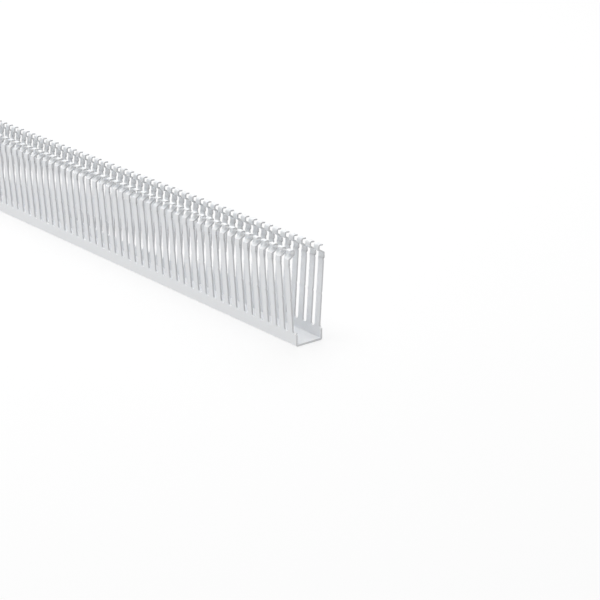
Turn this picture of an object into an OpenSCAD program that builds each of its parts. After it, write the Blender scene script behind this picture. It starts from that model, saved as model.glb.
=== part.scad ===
// Slotted wire duct: an open-topped PVC channel extruded in one piece.
// Punched slots turn both side walls into rows of fingers, and each finger
// ends in the snap head that holds a cover (no cover fitted here).
// X runs along the duct, Y across it, Z up. The origin is the centre of the
// underside.

/* [Duct] */
// Length of the stock
duct_l = 1000; // [200:10:2000]
// Width over the two side walls at the bottom
base_w = 25; // [20:1:80]
// Overall height, up to the cover lips
duct_h = 75; // [50:1:100]
// Thickness of the side walls and fingers
wall_t = 1.4; // [1:0.1:2.5]
// Thickness of the base
base_t = 1.6; // [1:0.1:3]
// Outer radius of the two bottom edges
edge_r = 1; // [0.4:0.1:1.5]

/* [Fingers] */
// Distance from one slot to the next
slot_pitch = 10; // [8:0.5:20]
// Width of a slot
slot_w = 4.5; // [3:0.1:6]
// Height of the solid wall below the slots
solid_h = 10; // [6:0.5:20]
// How far the fingers lean outward, in degrees
lean = 3.7; // [0:0.1:5]
// Part slot left at the +X end of the -Y wall
end_gap_a = 4.1; // [1:0.1:4.4]
// Part slot left at the +X end of the +Y wall
end_gap_b = 2.5; // [1:0.1:4.4]

/* [Snap head] */
// Distance from the duct's top down to the shoulder
shoulder_drop = 6.7; // [5:0.1:9]
// How far the neck stands in from the finger's outer face
neck_in = 5; // [3:0.1:6]
// Height of the outer groove between shoulder bevel and lip
groove_h = 2.6; // [1.5:0.1:4]
// Thickness of the lip
lip_t = 1.25; // [0.8:0.05:2]
// Reach of the lip beyond the neck
lip_reach = 3.6; // [2:0.1:4.5]
// How far the catch ridge stands out of the finger
ridge_out = 0.8; // [0.3:0.1:1.2]
// Rise of the ridge's catching face, from the finger out to its edge
catch_rise = 0.3; // [0:0.1:0.8]
// Height of the catch ridge, below the shoulder
ridge_h = 3.4; // [2:0.1:5]

/* [Break-off notches] */
// Depth of each notch in a finger's edge
notch_d = 0.7; // [0.3:0.1:1.2]
// Height of each notch
notch_h = 2; // [1:0.1:3]
// Height of the middle notches above the underside
notch_mid = 37; // [25:1:50]
// Height of the upper notches above the underside
notch_top = 63.5; // [40:0.5:80]

/* [Mounting holes] */
// Diameter of the holes in the base
hole_d = 5.5; // [3:0.1:8]
// Distance from one hole to the next
hole_pitch = 50; // [25:5:200]

/* [Hidden] */
inner_w = base_w - 2 * wall_t;
// the snap head is drawn upright and then leans with its finger
top_in = neck_in + wall_t;
// the inner face turns a little below the outer one, so that the bent wall
// keeps its thickness
inner_drop = wall_t * 0.6;
// how far the cutters run past the faces that they cut
overrun = 5;
head_h = (duct_h - solid_h - top_in * sin(lean)) / cos(lean);
slots_a = ceil((duct_l - end_gap_a) / slot_pitch);
slots_b = ceil((duct_l - end_gap_b) / slot_pitch);
holes = max(1, round(duct_l / hole_pitch));
reach = base_w / 2 + duct_h * sin(lean) + ridge_out + overrun;
// the cutters of one wall's slots stop inside the channel, clear of the other
core = base_w / 2 - top_in - overrun;

// A point of the upright finger profile, u in from the outer wall face and h
// above the slot floor, leaned outward about the wall's outer face.
function leaned(u, h) = [
    base_w / 2 - u * cos(lean) + h * sin(lean),
    solid_h + u * sin(lean) + h * cos(lean)
];

// One wall's outline from the slot floor up the outside, over the head and
// down the inside.
function wall_outline() = let (
    shoulder = head_h - shoulder_drop,
    ridge = shoulder - ridge_h,
    lip_low = head_h - lip_t,
    groove_low = lip_low - groove_h
) [
    leaned(0, 0),
    leaned(0, ridge),
    leaned(-ridge_out, ridge + catch_rise),
    leaned(-ridge_out, ridge + catch_rise + ridge_out),
    leaned(0, shoulder),
    leaned(neck_in, groove_low),
    leaned(neck_in, lip_low),
    leaned(neck_in - lip_reach, lip_low),
    leaned(neck_in - lip_reach, head_h),
    leaned(top_in, head_h),
    leaned(top_in, groove_low - inner_drop),
    leaned(wall_t, shoulder - inner_drop),
    [inner_w / 2, solid_h]
];

// A quarter round of the bottom outer edge, on the +Y side.
function bottom_edge(n = 6) = [
    for (i = [0 : n])
        let (a = -90 + 90 * i / n)
            [base_w / 2 - edge_r + edge_r * cos(a), edge_r + edge_r * sin(a)]
];

function mirrored(points) = [
    for (i = [len(points) - 1 : -1 : 0]) [-points[i][0], points[i][1]]
];

// Cross-section of the extrusion, across the duct and up.
module section() {
    half = concat(bottom_edge(), wall_outline(), [[inner_w / 2, base_t]]);
    polygon(concat(half, mirrored(half)));
}

// Stands a profile drawn across and up on its end and runs it along X.
module along_x(length) {
    rotate([90, 0, 90])
        translate([0, 0, -length / 2])
            linear_extrude(length) children();
}

// Right-hand edge of one slot, from its floor to above the duct, with the
// break-off notches. side is 1 for the +X edge and -1 for the -X edge.
function slot_edge(x, side) = [
    for (p = [
        [0, solid_h],
        [notch_d, solid_h + notch_h / 2],
        [0, solid_h + notch_h],
        [0, notch_mid - notch_h / 2],
        [notch_d, notch_mid],
        [0, notch_mid + notch_h / 2],
        [0, notch_top - notch_h / 2],
        [notch_d, notch_top],
        [0, notch_top + notch_h / 2],
        [0, duct_h + overrun]
    ]) [x + side * p[0], p[1]]
];

function reversed(points) = [
    for (i = [len(points) - 1 : -1 : 0]) points[i]
];

// One slot, seen from the side of the duct, with its +X edge at x.
module slot(x) {
    polygon(concat(slot_edge(x, 1), reversed(slot_edge(x - slot_w, -1))));
}

// All the slots of one wall, from y0 to y1. The slot at the +X end is cut
// through by the end of the duct, gap wide.
module slots(count, gap, y0, y1) {
    translate([0, y1, 0])
        rotate([90, 0, 0])
            linear_extrude(y1 - y0)
                for (i = [0 : count - 1])
                    slot(duct_l / 2 - gap + slot_w - i * slot_pitch);
}

// Row of fixing holes along the middle of the base.
module fixing_holes() {
    for (i = [0 : holes - 1])
        translate([(i - (holes - 1) / 2) * hole_pitch, 0, -overrun])
            cylinder(h = base_t + 2 * overrun, d = hole_d, $fn = 48);
}

module slotted_duct() {
    color([0.93, 0.94, 0.95])
        difference() {
            along_x(duct_l) section();
            slots(slots_a, end_gap_a, -reach, -core);
            slots(slots_b, end_gap_b, core, reach);
            fixing_holes();
        }
}

slotted_duct();
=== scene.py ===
"""Slotted wire duct: an extruded and punched PVC channel, dressed over its CAD frame.

The duct is one piece. Its cross-section is extruded along X, the slots are punched through both side
walls, and the fingers between them carry the snap heads for a cover. Lengths are in metres."""

import math

import bpy
from bpy.props import FloatProperty, FloatVectorProperty, IntProperty, PointerProperty
from bpy.types import Operator, Panel, PropertyGroup
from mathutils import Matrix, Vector


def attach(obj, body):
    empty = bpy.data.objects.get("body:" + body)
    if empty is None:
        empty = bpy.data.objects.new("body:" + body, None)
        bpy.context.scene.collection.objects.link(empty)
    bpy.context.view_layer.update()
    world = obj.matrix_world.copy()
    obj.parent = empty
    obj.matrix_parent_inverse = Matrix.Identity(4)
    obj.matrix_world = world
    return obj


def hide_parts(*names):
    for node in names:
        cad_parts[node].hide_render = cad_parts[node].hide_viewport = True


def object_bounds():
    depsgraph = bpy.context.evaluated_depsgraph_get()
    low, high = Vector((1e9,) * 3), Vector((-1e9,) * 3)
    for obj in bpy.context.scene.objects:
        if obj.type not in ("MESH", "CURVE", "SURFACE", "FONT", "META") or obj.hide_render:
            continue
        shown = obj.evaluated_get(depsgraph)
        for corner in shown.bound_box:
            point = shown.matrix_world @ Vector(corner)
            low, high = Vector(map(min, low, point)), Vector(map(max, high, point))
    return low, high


bl_info = {
    "name": "Slotted Wire Duct",
    "version": (1, 0, 0),
    "blender": (4, 5, 0),
    "location": "View3D > Sidebar > Wire Duct",
    "description": "Builds a slotted wire duct and the plain studio that it is shown in",
    "category": "Add Mesh",
}

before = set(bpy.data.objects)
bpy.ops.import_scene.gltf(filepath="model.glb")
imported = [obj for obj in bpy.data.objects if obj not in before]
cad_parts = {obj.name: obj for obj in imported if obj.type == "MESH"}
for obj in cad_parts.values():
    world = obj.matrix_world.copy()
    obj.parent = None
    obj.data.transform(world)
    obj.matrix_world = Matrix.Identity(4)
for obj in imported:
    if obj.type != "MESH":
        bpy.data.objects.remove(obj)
FRAME_LOW, FRAME_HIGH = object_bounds()
FRAME_SIZE = FRAME_HIGH - FRAME_LOW
MM = 0.001

STRAIGHT = 1e-4  # turn in radians below which a corner of an outline counts as straight
POINTS_PER_METRE = 1e7  # vertices that fall on the same point of this grid are one vertex
SHARP_ANGLE = math.radians(50)  # between faces whose shared edge stays sharp
HOLE_MARGIN = 1 * MM  # of flat base on either side of a hole, within its patch
EDGE_STEPS = 6  # of the rounding outside each bottom edge
CORNER_STEPS = 3  # of the fillet inside each bottom corner


# ---------------------------------------------------------------- sizes and colours


def length(name, description, default, **limits):
    """A size in metres."""
    return FloatProperty(
        name=name, description=description, default=default, unit="LENGTH", precision=5, **limits
    )


def colour(name, description, default):
    """A colour, in linear red, green and blue."""
    return FloatVectorProperty(
        name=name, description=description, default=default, subtype="COLOR", size=3, min=0, max=1
    )


def angle(name, description, degrees):
    """An angle that is given in degrees and kept in radians."""
    return FloatProperty(
        name=name, description=description, default=math.radians(degrees), subtype="ANGLE"
    )


def power(name, description, watts):
    """A lamp's power."""
    return FloatProperty(name=name, description=description, default=watts, unit="POWER")


def factor(name, description, default, **limits):
    """A plain number, from nothing up."""
    return FloatProperty(
        name=name, description=description, default=default, subtype="FACTOR", min=0, **limits
    )


class DuctSection(PropertyGroup):
    """The extruded cross-section below the fingers."""

    stock_length: length("Length", "Length of the stock", FRAME_SIZE.x)
    height: length("Height", "Overall height, up to the cover lips", FRAME_SIZE.z)
    width: length("Width", "Width over the side walls at the bottom", 25 * MM)
    wall: length("Wall", "Thickness of the side walls and fingers", 1.4 * MM)
    base: length("Base", "Thickness of the base", 1.6 * MM)
    edge_radius: length("Edge radius", "Outer radius of the bottom edges", 1.5 * MM)
    corner_fillet: length("Corner fillet", "Fillet inside the bottom corners", 0.5 * MM)


class FingerRows(PropertyGroup):
    """The slots, with their half-round floors, and the fingers that they leave."""

    pitch: length("Pitch", "Distance from one slot to the next", 10 * MM)
    slot: length("Slot width", "Width of a slot", 4.5 * MM)
    strip: length("Solid strip", "Height of the solid wall below the slots", 9.2 * MM)
    lean: angle("Lean", "How far the fingers lean outward", 3.7)
    near_gap: length("Near end gap", "Part slot at the +X end of the -Y wall", 4.4 * MM)
    far_gap: length("Far end gap", "Part slot at the +X end of the +Y wall", 2.2 * MM)
    edge_break: length("Edge break", "Chamfer along the punched edges of a finger", 0.12 * MM)


class SnapHead(PropertyGroup):
    """The head of each finger, which holds the cover."""

    shoulder_drop: length("Shoulder drop", "Distance from the top down to the shoulder", 6.4 * MM)
    neck_in: length("Neck set-in", "How far the neck stands in from the outer face", 5 * MM)
    groove: length("Groove", "Height of the groove under the lip", 2.6 * MM)
    lip: length("Lip", "Thickness of the lip", 1.25 * MM)
    lip_reach: length("Lip reach", "Reach of the lip beyond the neck", 3 * MM)
    ridge_out: length("Ridge", "How far the catch ridge stands out", 0.5 * MM)
    ridge_height: length("Ridge height", "Height of the ridge, below the shoulder", 4.7 * MM)
    catch_rise: length("Catch rise", "Rise of the ridge's catching face, going outward", 0.3 * MM)


class BreakOffNotches(PropertyGroup):
    """The notches where a finger can be snapped off, each facing a nib on the next finger."""

    depth: length("Depth", "Depth of a notch, and reach of the nib facing it", 0.45 * MM)
    height: length("Height", "Height of a notch", 2.6 * MM)
    middle: length("Middle", "Height of the middle notches", 36 * MM)
    top: length("Top", "Height of the upper notches", 62.5 * MM)


class FixingHoles(PropertyGroup):
    """The row of holes down the middle of the base."""

    diameter: length("Diameter", "Diameter of a hole", 5.5 * MM)
    pitch: length("Pitch", "Distance from one hole to the next", 50 * MM)
    sides: IntProperty(name="Sides", description="Sides of the round holes", default=40, min=12, max=96)


class PvcFinish(PropertyGroup):
    """The look of the plastic."""

    skin: colour("Skin", "Colour of the extruded surfaces", (0.885, 0.9, 0.918))
    # The cut colour is painted shade: it is darker than the skin to stand in for the shade on the
    # punched and sawn faces, which mostly turn away from the lights.
    cut: colour("Cut", "Colour of the punched and sawn faces", (0.69, 0.7, 0.712))
    roughness: factor("Roughness", "Roughness of the skin", 0.36, max=1)


class Studio(PropertyGroup):
    """The floor, the lights and the camera."""

    floor: colour("Floor", "Colour of the floor", (0.3, 0.3, 0.3))
    glow: factor("Floor glow", "Light that the floor gives off, like a light table", 0.66, soft_max=2)
    key: power("Top light", "Power of the overhead light", 50)
    back: power("Back light", "Power of the light behind the duct", 20)
    sky: factor("Sky", "Strength of the even light all round", 0.42, soft_max=2)
    azimuth: angle("Azimuth", "Camera direction round the duct", 51.307)
    elevation: angle("Elevation", "Camera direction above the floor", 19.968)
    lens: FloatProperty(name="Lens", description="Focal length", default=109.8, unit="CAMERA")
    camera_place: FloatVectorProperty(
        name="Camera place",
        description="Camera position from the near bottom corner of the cut end",
        default=(0.9918, -0.7908, 0.4982),
        subtype="TRANSLATION",
        unit="LENGTH",
    )


# ---------------------------------------------------------------- outlines


def fillet(before, corner, after, radius, steps):
    """The steps + 1 points that round a corner of a flat outline.

    Where the outline runs straight on, the points stay on it."""
    a, b, c = Vector(before), Vector(corner), Vector(after)
    into, out = (b - a).normalized(), (c - b).normalized()
    turn = into.angle(out)
    if turn < STRAIGHT:
        return [b + into * radius * (2 * i / steps - 1) for i in range(steps + 1)]
    reach = radius * math.tan(turn / 2)
    start = b - into * reach
    side = out - into * out.dot(into)
    centre = start + side.normalized() * radius
    arm = start - centre
    points = []
    for i in range(steps + 1):
        along = turn * i / steps
        points.append(centre + arm * math.cos(along) + into * radius * math.sin(along))
    return points


def rounded(points, radii, steps):
    """The rounded corners of an open outline, from its second point to its last but one."""
    return [
        fillet(points[i - 1], points[i], points[i + 1], radii[i - 1], steps[i - 1])
        for i in range(1, len(points) - 1)
    ]


class FingerShape:
    """One finger from the slot floor to the lip's tip, as stations up its outer and inner faces.

    A point is (u, h): u in from the outer wall face and h up the finger, before the finger leans. A
    station is (outer point, inner point, clear, shift). Its clear is how far the finger's edges stand
    there from the middles of the slots beside it. Its shift moves both edges towards -X, into a notch
    on one edge and a nib on the other."""

    ROOT_STEPS = 7  # of the quarter round at the foot of each edge
    # The lowest steps of each foot face up to the light and keep the skin colour; the steeper punched
    # faces above them take the cut colour, which is painted shade.
    LIT_FLOOR_STEPS = 4  # how many of them, from the slot floor up, are as smooth as the skin
    # up a notch: (height from its middle over half its height, share of its depth)
    NOTCH_STEPS = ((-1, 0), (-0.25, 1), (0.25, 1), (1, 0))
    INNER_DROP = 0.6  # of the wall, by which the inner face turns below the outer one
    NOSE_RADIUS = 0.4 * MM  # of the lip's tip, above and below
    NOSE_STEPS = 3
    # (steps, outer radius in mm, inner radius in mm) of each corner, up the head
    CORNERS = (
        (2, 0.12, 0.1),  # foot of the catch ridge
        (2, 0.15, 0.1),  # edge of the catch ridge
        (3, 0.4, 0.4),  # shoulder
        (3, 0.35, 1.5),  # foot of the neck
        (6, 0.3, 2),  # neck into lip
    )

    def __init__(self, section, rows, head, notches):
        self.section, self.rows = section, rows
        wall, lean = section.wall, rows.lean
        top_in = head.neck_in + wall
        self.top = (section.height - rows.strip - top_in * math.sin(lean)) / math.cos(lean)
        clear = rows.slot / 2
        self.stations = self.root(wall, clear, lean)
        for middle in (notches.middle, notches.top):
            for up, deep in self.NOTCH_STEPS:
                h = (middle + up * notches.height / 2 - rows.strip) / math.cos(lean)
                station = (Vector((0, h)), Vector((wall, h)), clear, deep * notches.depth)
                self.stations.append(station)
        for outer, inner in self.snap(head, wall, top_in) + self.nose(head):
            self.stations.append((outer, inner, clear, 0.0))

    def root(self, wall, clear, lean):
        """The foot of the finger, which meets the next fingers' feet in half-round slot floors."""
        foot = Vector((wall * math.cos(lean), -wall * math.sin(lean)))
        stations = [(Vector((0, 0)), foot, 0.0, 0.0)]
        for k in range(1, self.ROOT_STEPS + 1):
            turn = math.radians(90 * k / self.ROOT_STEPS)
            h = clear * (1 - math.cos(turn)) / math.cos(lean)
            stations.append((Vector((0, h)), Vector((wall, h)), clear * math.sin(turn), 0.0))
        return stations

    def snap(self, head, wall, top_in):
        """The catch ridge, the shoulder, the neck and the lip up to its tip, with rounded corners."""
        shoulder = self.top - head.shoulder_drop
        ridge = shoulder - head.ridge_height
        lip_low = self.top - head.lip
        groove_low = lip_low - head.groove
        drop = self.INNER_DROP * wall
        tip = head.neck_in - head.lip_reach
        outer = [
            (0, 0),
            (0, ridge),
            (-head.ridge_out, ridge + head.catch_rise),
            (0, shoulder),
            (head.neck_in, groove_low),
            (head.neck_in, lip_low),
            (tip, lip_low),
        ]
        inner = [
            (wall, 0),
            (wall, ridge),
            (wall, ridge + head.catch_rise),
            (wall, shoulder - drop),
            (top_in, groove_low - drop),
            (top_in, self.top),
            (tip, self.top),
        ]
        steps, outer_radii, inner_radii = zip(*self.CORNERS)
        outer_arcs = rounded(outer, [r * MM for r in outer_radii], steps)
        inner_arcs = rounded(inner, [r * MM for r in inner_radii], steps)
        return [pair for o, i in zip(outer_arcs, inner_arcs) for pair in zip(o, i)]

    def nose(self, head):
        """The lip's tip, rounded above and below."""
        tip = head.neck_in - head.lip_reach
        pairs = []
        for k in range(self.NOSE_STEPS + 1):
            turn = math.radians(90 * k / self.NOSE_STEPS)
            u = tip + self.NOSE_RADIUS * (1 - math.sin(turn))
            rise = self.NOSE_RADIUS * (1 - math.cos(turn))
            pairs.append((Vector((u, self.top - head.lip + rise)), Vector((u, self.top - rise))))
        return pairs

    def place(self, point):
        """(distance from the duct's middle, height) of a (u, h) point once the finger leans."""
        u, h = point
        lean = self.rows.lean
        return (
            self.section.width / 2 - u * math.cos(lean) + h * math.sin(lean),
            self.rows.strip + u * math.sin(lean) + h * math.cos(lean),
        )


# ---------------------------------------------------------------- mesh of the duct

# the colour of the cut slot is painted shade, darker than the skin
SKIN, CUT = 0, 1  # material slots: extruded skin, and punched or sawn faces
OUTER_SIDE, INNER_SIDE = 0, 4  # of the eight sides of a finger's cross-section


class MeshMaker:
    """Collects vertices and faces, and shares a vertex between faces that meet there."""

    def __init__(self):
        self.points, self.faces, self.slots, self.found = [], [], [], {}

    def vertex(self, x, y, z):
        """The number of the vertex at this point, which is added if it isn't there yet."""
        key = tuple(round(value * POINTS_PER_METRE) for value in (x, y, z))
        if key not in self.found:
            self.found[key] = len(self.points)
            self.points.append((x, y, z))
        return self.found[key]

    def face(self, corners, slot, flip=False):
        """A face through these (x, y, z) corners, anticlockwise from outside unless flip is set.

        A face whose corners fall together on fewer than three vertices is left out."""
        ring = []
        for corner in corners:
            v = self.vertex(*corner)
            if v not in ring:
                ring.append(v)
        if len(ring) > 2:
            self.faces.append(ring[::-1] if flip else ring)
            self.slots.append(slot)

    def mesh(self, name):
        """All the faces as one mesh, shaded smooth except across its sharp edges."""
        made = bpy.data.meshes.new(name)
        made.from_pydata(self.points, [], self.faces)
        made.polygons.foreach_set("material_index", self.slots)
        made.polygons.foreach_set("use_smooth", [True] * len(self.faces))
        made.update()
        if made.validate():
            raise RuntimeError(f"the mesh of {name} has faces that Blender had to repair")
        made.set_sharp_from_angle(angle=SHARP_ANGLE)
        return made


def slot_middles(section, rows, gap):
    """x of the middle of every slot of one wall, from past the +X end to past the -X end."""
    first = section.stock_length / 2 - gap + rows.slot / 2 + rows.pitch
    count = math.ceil(section.stock_length / rows.pitch) + 3  # with the spare ones past both ends
    return [first - i * rows.pitch for i in range(count)]


def add_finger(maker, shape, side, low, high, breaks):
    """One finger of the wall on that side (-1 or 1), between the middles of two slots.

    What lies past the duct's end is sawn off with it, so only a stub may be left of the finger. The
    strip below has a vertex at each of the breaks, which the finger's foot takes in."""
    flip = side > 0
    half_length = shape.section.stock_length / 2

    def ring(index):
        outer, inner, clear, shift = shape.stations[index]
        x0 = min(max(low + clear - shift, -half_length), half_length)
        x1 = max(min(high - clear - shift, half_length), x0)
        chamfer = 0.0 if index == 0 else min(shape.rows.edge_break, (x1 - x0) / 2)
        # where the lip's tip is too thin for two chamfers, each takes three tenths of it
        through = inner - outer
        thin = through.length < 2.2 * chamfer
        across = through * 0.3 if thin else through.normalized() * chamfer
        (oy, oz), (iy, iz) = shape.place(outer), shape.place(inner)
        (my, mz), (ny, nz) = shape.place(outer + across), shape.place(inner - across)
        return [
            (x0 + chamfer, side * oy, oz),
            (x1 - chamfer, side * oy, oz),
            (x1, side * my, mz),
            (x1, side * ny, nz),
            (x1 - chamfer, side * iy, iz),
            (x0 + chamfer, side * iy, iz),
            (x0, side * ny, nz),
            (x0, side * my, mz),
        ]

    lower = ring(0)
    left, right = lower[0][0], lower[1][0]
    inside = sorted(x for x in breaks if left < x < right)
    for index in range(1, len(shape.stations)):
        upper = ring(index)
        for k in range(8):
            n = (k + 1) % 8
            skin_side = k in (OUTER_SIDE, INNER_SIDE)
            foot = []
            if index == 1 and skin_side:
                y, z = lower[k][1:]
                foot = [(x, y, z) for x in (inside if k == OUTER_SIDE else inside[::-1])]
            # punched faces above the lit floor steps take the cut colour, painted shade darker than the
            # skin
            slot = SKIN if skin_side or index <= shape.LIT_FLOOR_STEPS else CUT
            maker.face([lower[k], *foot, lower[n], upper[n], upper[k]], slot, flip)
        lower = upper
        sawn_to_nothing = lower[2][0] == lower[7][0]
        if sawn_to_nothing:
            return
    maker.face(lower, SKIN, flip)


def strip_outline(section, rows, hole_half):
    """The closed U of the base and the solid strips, as (y, z), anticlockwise seen from +X.

    It runs from the top of the -Y wall's outer face round the bottom to the +Y wall and back inside.
    Two points in the base, on both its faces, bound the band that the fixing holes are cut in."""
    half, base = section.width / 2, section.base
    inner = half - section.wall
    outer_edge = fillet((half, rows.strip), (half, 0), (0, 0), section.edge_radius, EDGE_STEPS)
    inner_corner = fillet(
        (inner, rows.strip), (inner, base), (0, base), section.corner_fillet, CORNER_STEPS
    )
    right = [(p[0], p[1]) for p in outer_edge]
    right_in = [(p[0], p[1]) for p in inner_corner]
    left = [(-y, z) for y, z in right]
    left_in = [(-y, z) for y, z in right_in]
    return (
        [(-half, rows.strip)]
        + left
        + [(-hole_half, 0), (hole_half, 0)]
        + right[::-1]
        + [(half, rows.strip), (inner, rows.strip)]
        + right_in
        + [(hole_half, base), (-hole_half, base)]
        + left_in[::-1]
        + [(-inner, rows.strip)]
    )


def add_strip(maker, section, rows, holes, walls):
    """The base with its fixing holes and the solid strips of both walls, open where fingers stand."""
    half_length = section.stock_length / 2
    hole_half = holes.diameter / 2 + HOLE_MARGIN
    outline = strip_outline(section, rows, hole_half)
    stops = {-half_length, half_length}
    for middles in walls.values():
        stops |= {x for x in middles if -half_length < x < half_length}
    stops = sorted(stops)

    count = max(1, round(section.stock_length / holes.pitch))
    centres = [(i - (count - 1) / 2) * holes.pitch for i in range(count)]
    patches = []
    for c in centres:
        low = max(x for x in stops if x < c - hole_half)
        high = min(x for x in stops if x > c + hole_half)
        patches.append((c, low, high))

    for x0, x1 in zip(stops, stops[1:]):
        beside_hole = any(low <= x0 and x1 <= high for _, low, high in patches)
        for (y0, z0), (y1, z1) in zip(outline, outline[1:] + outline[:1]):
            under_finger = z0 == rows.strip and z1 == rows.strip
            in_patch = beside_hole and abs(y0) == hole_half and abs(y1) == hole_half
            if not under_finger and not in_patch:
                maker.face([(x0, y0, z0), (x0, y1, z1), (x1, y1, z1), (x1, y0, z0)], SKIN)

    # the sawn ends take the cut colour, painted shade darker than the skin
    for x, flip in ((half_length, False), (-half_length, True)):
        maker.face([(x, y, z) for y, z in outline], CUT, flip)

    for c, low, high in patches:
        add_hole(maker, section, holes, stops, hole_half, c, low, high)


def add_hole(maker, section, holes, stops, hole_half, centre, low, high):
    """One fixing hole, with the patch of the base round it, from x low to high."""
    r = holes.diameter / 2
    turns = [2 * math.pi * k / holes.sides for k in range(holes.sides)]
    circle = [(centre + r * math.cos(a), r * math.sin(a)) for a in turns]
    opposite = holes.sides // 2
    border = [x for x in stops if low <= x <= high]
    patch = [
        [(x, hole_half) for x in border[::-1]] + circle[opposite::-1],
        [(x, -hole_half) for x in border] + [circle[0]] + circle[: opposite - 1 : -1],
        [(low, hole_half), (low, -hole_half), circle[opposite]],
        [(high, -hole_half), (high, hole_half), circle[0]],
    ]
    for ring in patch:
        maker.face([(*p, section.base) for p in ring], SKIN)
        maker.face([(*p, 0.0) for p in ring], SKIN, True)
    # the hole walls take the cut colour, painted shade darker than the skin
    for p, q in zip(circle, circle[1:] + circle[:1]):
        maker.face([(*p, 0.0), (*p, section.base), (*q, section.base), (*q, 0.0)], CUT)


# ---------------------------------------------------------------- materials


class NodeBench:
    """Adds nodes to a new material and joins them up."""

    def __init__(self, name):
        self.material = bpy.data.materials.new(name)
        self.material.use_nodes = True
        self.tree = self.material.node_tree
        self.tree.nodes.clear()

    def add(self, kind, **values):
        """A new node with these values, each for a property or, failing that, an input socket."""
        node = self.tree.nodes.new(kind)
        for key, value in values.items():
            if hasattr(node, key):
                setattr(node, key, value)
            else:
                node.inputs[key.replace("_", " ")].default_value = value
        return node

    def join(self, source, target):
        self.tree.links.new(source, target)

    def surface(self, shader, tint):
        """The material, once its shader takes its colour from tint and gives the surface."""
        self.join(tint, shader.inputs["Base Color"])
        output = self.add("ShaderNodeOutputMaterial")
        self.join(shader.outputs["BSDF"], output.inputs["Surface"])
        return self.material


def grain(bench, pace, scale, detail=4.0, roughness=0.55):
    """A noise pattern on the object's own coordinates, with about scale waves a metre.

    Its pace is the share of these waves along X, Y and Z, so that a low one draws the pattern out."""
    where = bench.add("ShaderNodeTexCoord")
    mapping = bench.add("ShaderNodeMapping")
    mapping.inputs["Scale"].default_value = pace
    noise = bench.add("ShaderNodeTexNoise", Scale=scale, Detail=detail, Roughness=roughness)
    bench.join(where.outputs["Object"], mapping.inputs["Vector"])
    bench.join(mapping.outputs["Vector"], noise.inputs["Vector"])
    return noise.outputs["Fac"]


def spread(bench, value, low, high, a=0.3, b=0.7):
    """value, which lies mostly between a and b, stretched to run from low to high."""
    ranged = bench.add("ShaderNodeMapRange")
    for socket, number in zip(("From Min", "From Max", "To Min", "To Max"), (a, b, low, high)):
        ranged.inputs[socket].default_value = number
    bench.join(value, ranged.inputs["Value"])
    return ranged.outputs["Result"]


def tinted(bench, value, dark, light):
    """A colour between dark and light, by value."""
    mix = bench.add("ShaderNodeMix", data_type="RGBA")
    for socket in mix.inputs:
        if socket.type == "RGBA":
            socket.default_value = (*(dark if socket.name == "A" else light), 1)
    bench.join(value, mix.inputs["Factor"])
    return next(s for s in mix.outputs if s.type == "RGBA")


def bumped(bench, *layers):
    """The normal after these layers of (height, strength), each a tenth of a millimetre at most."""
    normal = None
    for height, strength in layers:
        bump = bench.add("ShaderNodeBump", Strength=strength, Distance=0.1 * MM)
        bench.join(height, bump.inputs["Height"])
        if normal:
            bench.join(normal, bump.inputs["Normal"])
        normal = bump.outputs["Normal"]
    return normal


def shade(base, ratio):
    """The base colour, darker or lighter by this ratio."""
    return tuple(min(1.0, c * ratio) for c in base)


def rigid_pvc(bench):
    """The shader of the plastic itself, which lets a little light in below its surface."""
    shader = bench.add("ShaderNodeBsdfPrincipled")
    shader.inputs["IOR"].default_value = 1.53
    shader.inputs["Subsurface Weight"].default_value = 0.08
    shader.inputs["Subsurface Radius"].default_value = (1.0, 0.9, 0.8)
    shader.inputs["Subsurface Scale"].default_value = 1 * MM
    return shader


def pvc_skin(finish):
    """Satin white PVC as it comes out of the die.

    Faint flow lines run along the duct, over a soft orange peel."""
    bench = NodeBench("white_pvc_skin")
    cloud = grain(bench, (0.6, 2.0, 2.0), 18.0)
    lines = grain(bench, (0.02, 1.0, 1.0), 1400.0, detail=3.0)
    peel = grain(bench, (1.0, 1.0, 1.0), 900.0, detail=2.0)
    shader = rigid_pvc(bench)
    polish = spread(bench, lines, finish.roughness - 0.05, finish.roughness + 0.07)
    bench.join(polish, shader.inputs["Roughness"])
    bench.join(bumped(bench, (lines, 0.10), (peel, 0.06)), shader.inputs["Normal"])
    tint = tinted(bench, cloud, shade(finish.skin, 0.97), shade(finish.skin, 1.02))
    return bench.surface(shader, tint)


def pvc_cut(finish):
    """The same PVC where a punch or a saw went through it: duller, with shear marks up the cut, and
    darker in colour as painted shade.
    """
    bench = NodeBench("white_pvc_cut")
    shear = grain(bench, (1.0, 1.0, 0.05), 1600.0, detail=3.0)
    torn = grain(bench, (1.0, 1.0, 1.0), 2600.0, detail=4.0, roughness=0.7)
    shader = rigid_pvc(bench)
    bench.join(spread(bench, torn, 0.5, 0.68), shader.inputs["Roughness"])
    bench.join(bumped(bench, (shear, 0.25), (torn, 0.12)), shader.inputs["Normal"])
    # painted shade: the random tint runs round the cut colour, which is darker than the skin
    tint = tinted(bench, torn, shade(finish.cut, 0.95), shade(finish.cut, 1.03))
    return bench.surface(shader, tint)


def floor_paint(studio):
    """Matt pale floor with a barely visible grain, lit from below like a light table."""
    bench = NodeBench("pale_floor")
    cloud = grain(bench, (1.0, 1.0, 1.0), 3.0)
    shader = bench.add("ShaderNodeBsdfPrincipled")
    shader.inputs["Roughness"].default_value = 0.9
    shader.inputs["Specular IOR Level"].default_value = 0.1
    shader.inputs["Emission Color"].default_value = (1, 1, 1, 1)
    shader.inputs["Emission Strength"].default_value = studio.glow
    tint = tinted(bench, cloud, shade(studio.floor, 0.995), studio.floor)
    return bench.surface(shader, tint)


# ---------------------------------------------------------------- operators


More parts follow.
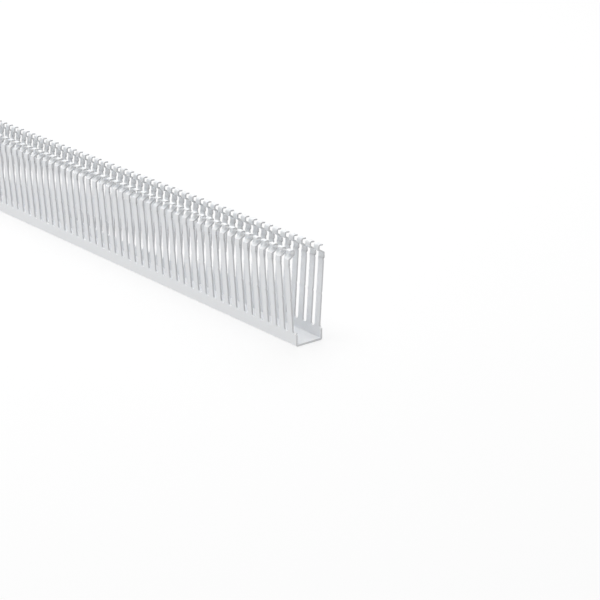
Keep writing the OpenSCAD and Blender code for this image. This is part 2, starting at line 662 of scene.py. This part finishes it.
class DUCT_OT_channel(Operator):
    """Builds the slotted duct: base, strips, fingers and snap heads, as one closed mesh"""

    bl_idname = "wire_duct.channel"
    bl_label = "Slotted duct"

    def execute(self, context):
        scene = context.scene
        section, rows = scene.duct_section, scene.duct_rows
        shape = FingerShape(section, rows, scene.duct_head, scene.duct_notches)
        walls = {
            -1: slot_middles(section, rows, rows.near_gap),
            1: slot_middles(section, rows, rows.far_gap),
        }
        maker = MeshMaker()
        add_strip(maker, section, rows, scene.duct_holes, walls)
        for side, middles in walls.items():
            for high, low in zip(middles, middles[1:]):
                if low < section.stock_length / 2 and high > -section.stock_length / 2:
                    add_finger(maker, shape, side, low, high, walls[-side])
        piece = bpy.data.objects.new("slotted_duct_pvc", maker.mesh("slotted_duct_pvc"))
        scene.collection.objects.link(piece)
        piece.data.materials.append(pvc_skin(scene.duct_finish))
        piece.data.materials.append(pvc_cut(scene.duct_finish))
        weighting = piece.modifiers.new("even_shading", "WEIGHTED_NORMAL")
        weighting.keep_sharp = True
        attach(piece, "root")
        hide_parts("slotted_duct")
        return {"FINISHED"}


class DUCT_OT_studio(Operator):
    """Lays the pale floor and sets the soft lights and the camera"""

    bl_idname = "wire_duct.studio"
    bl_label = "Studio"

    def execute(self, context):
        scene = context.scene
        studio = scene.duct_studio
        self.lay_floor(scene, studio)
        self.hang_lights(scene, studio)
        self.place_camera(scene, studio)
        scene.view_settings.view_transform = "Standard"
        return {"FINISHED"}

    def lay_floor(self, scene, studio):
        reach = 30.0  # metres each way, so that its edge stays out of sight
        corners = [(x * reach, y * reach, 0) for x, y in ((-1, -1), (1, -1), (1, 1), (-1, 1))]
        mesh = bpy.data.meshes.new("floor")
        mesh.from_pydata(corners, [], [(0, 1, 2, 3)])
        mesh.materials.append(floor_paint(studio))
        floor = bpy.data.objects.new("floor", mesh)
        scene.collection.objects.link(floor)

    def hang_lights(self, scene, studio):
        for name, watts, size, place in (
            ("top_light", studio.key, 2.4, (-0.2, -0.3, 2.6)),
            ("back_light", studio.back, 2.0, (-1.2, 1.5, 2.2)),
        ):
            lamp = bpy.data.lights.new(name, "AREA")
            lamp.shape, lamp.size, lamp.energy = "DISK", size, watts
            light = bpy.data.objects.new(name, lamp)
            light.location = place
            light.rotation_mode = "QUATERNION"
            light.rotation_quaternion = (-Vector(place)).to_track_quat("-Z", "Y")
            scene.collection.objects.link(light)
        world = bpy.data.worlds.new("studio_air")
        world.use_nodes = True
        background = world.node_tree.nodes["Background"]
        background.inputs["Color"].default_value = (1, 1, 1, 1)
        background.inputs["Strength"].default_value = studio.sky
        scene.world = world

    def place_camera(self, scene, studio):
        section = scene.duct_section
        corner = Vector((section.stock_length / 2, -section.width / 2, 0))
        lens = bpy.data.cameras.new("camera")
        lens.lens, lens.sensor_width = studio.lens, 36.0
        lens.clip_start, lens.clip_end = 0.01, 100.0
        camera = bpy.data.objects.new("camera", lens)
        camera.location = corner + Vector(studio.camera_place)
        azimuth, elevation = studio.azimuth, studio.elevation
        back = Vector(
            (
                math.sin(azimuth) * math.cos(elevation),
                -math.cos(azimuth) * math.cos(elevation),
                math.sin(elevation),
            )
        )
        camera.rotation_mode = "QUATERNION"
        camera.rotation_quaternion = (-back).to_track_quat("-Z", "Y")
        scene.collection.objects.link(camera)
        scene.camera = camera


class DUCT_PT_panel(Panel):
    """The duct's sizes and colours, with a button for each operator"""

    bl_idname = "DUCT_PT_panel"
    bl_label = "Wire Duct"
    bl_space_type = "VIEW_3D"
    bl_region_type = "UI"
    bl_category = "Wire Duct"

    def draw(self, context):
        for title, group in GROUPS.items():
            box = self.layout.box()
            box.label(text=group.__doc__)
            values = getattr(context.scene, title)
            for name in group.__annotations__:
                box.prop(values, name)
        for operator in OPERATORS:
            self.layout.operator(operator.bl_idname)


GROUPS = {
    "duct_section": DuctSection,
    "duct_rows": FingerRows,
    "duct_head": SnapHead,
    "duct_notches": BreakOffNotches,
    "duct_holes": FixingHoles,
    "duct_finish": PvcFinish,
    "duct_studio": Studio,
}
OPERATORS = (DUCT_OT_channel, DUCT_OT_studio)


def register():
    for group in GROUPS.values():
        bpy.utils.register_class(group)
    for operator in OPERATORS:
        bpy.utils.register_class(operator)
    bpy.utils.register_class(DUCT_PT_panel)
    for title, group in GROUPS.items():
        setattr(bpy.types.Scene, title, PointerProperty(type=group))


def unregister():
    for title in GROUPS:
        delattr(bpy.types.Scene, title)
    for group in (*GROUPS.values(), *OPERATORS, DUCT_PT_panel):
        bpy.utils.unregister_class(group)


def main():
    register()
    bpy.ops.wire_duct.channel()
    bpy.ops.wire_duct.studio()


if __name__ == "__main__":
    main()
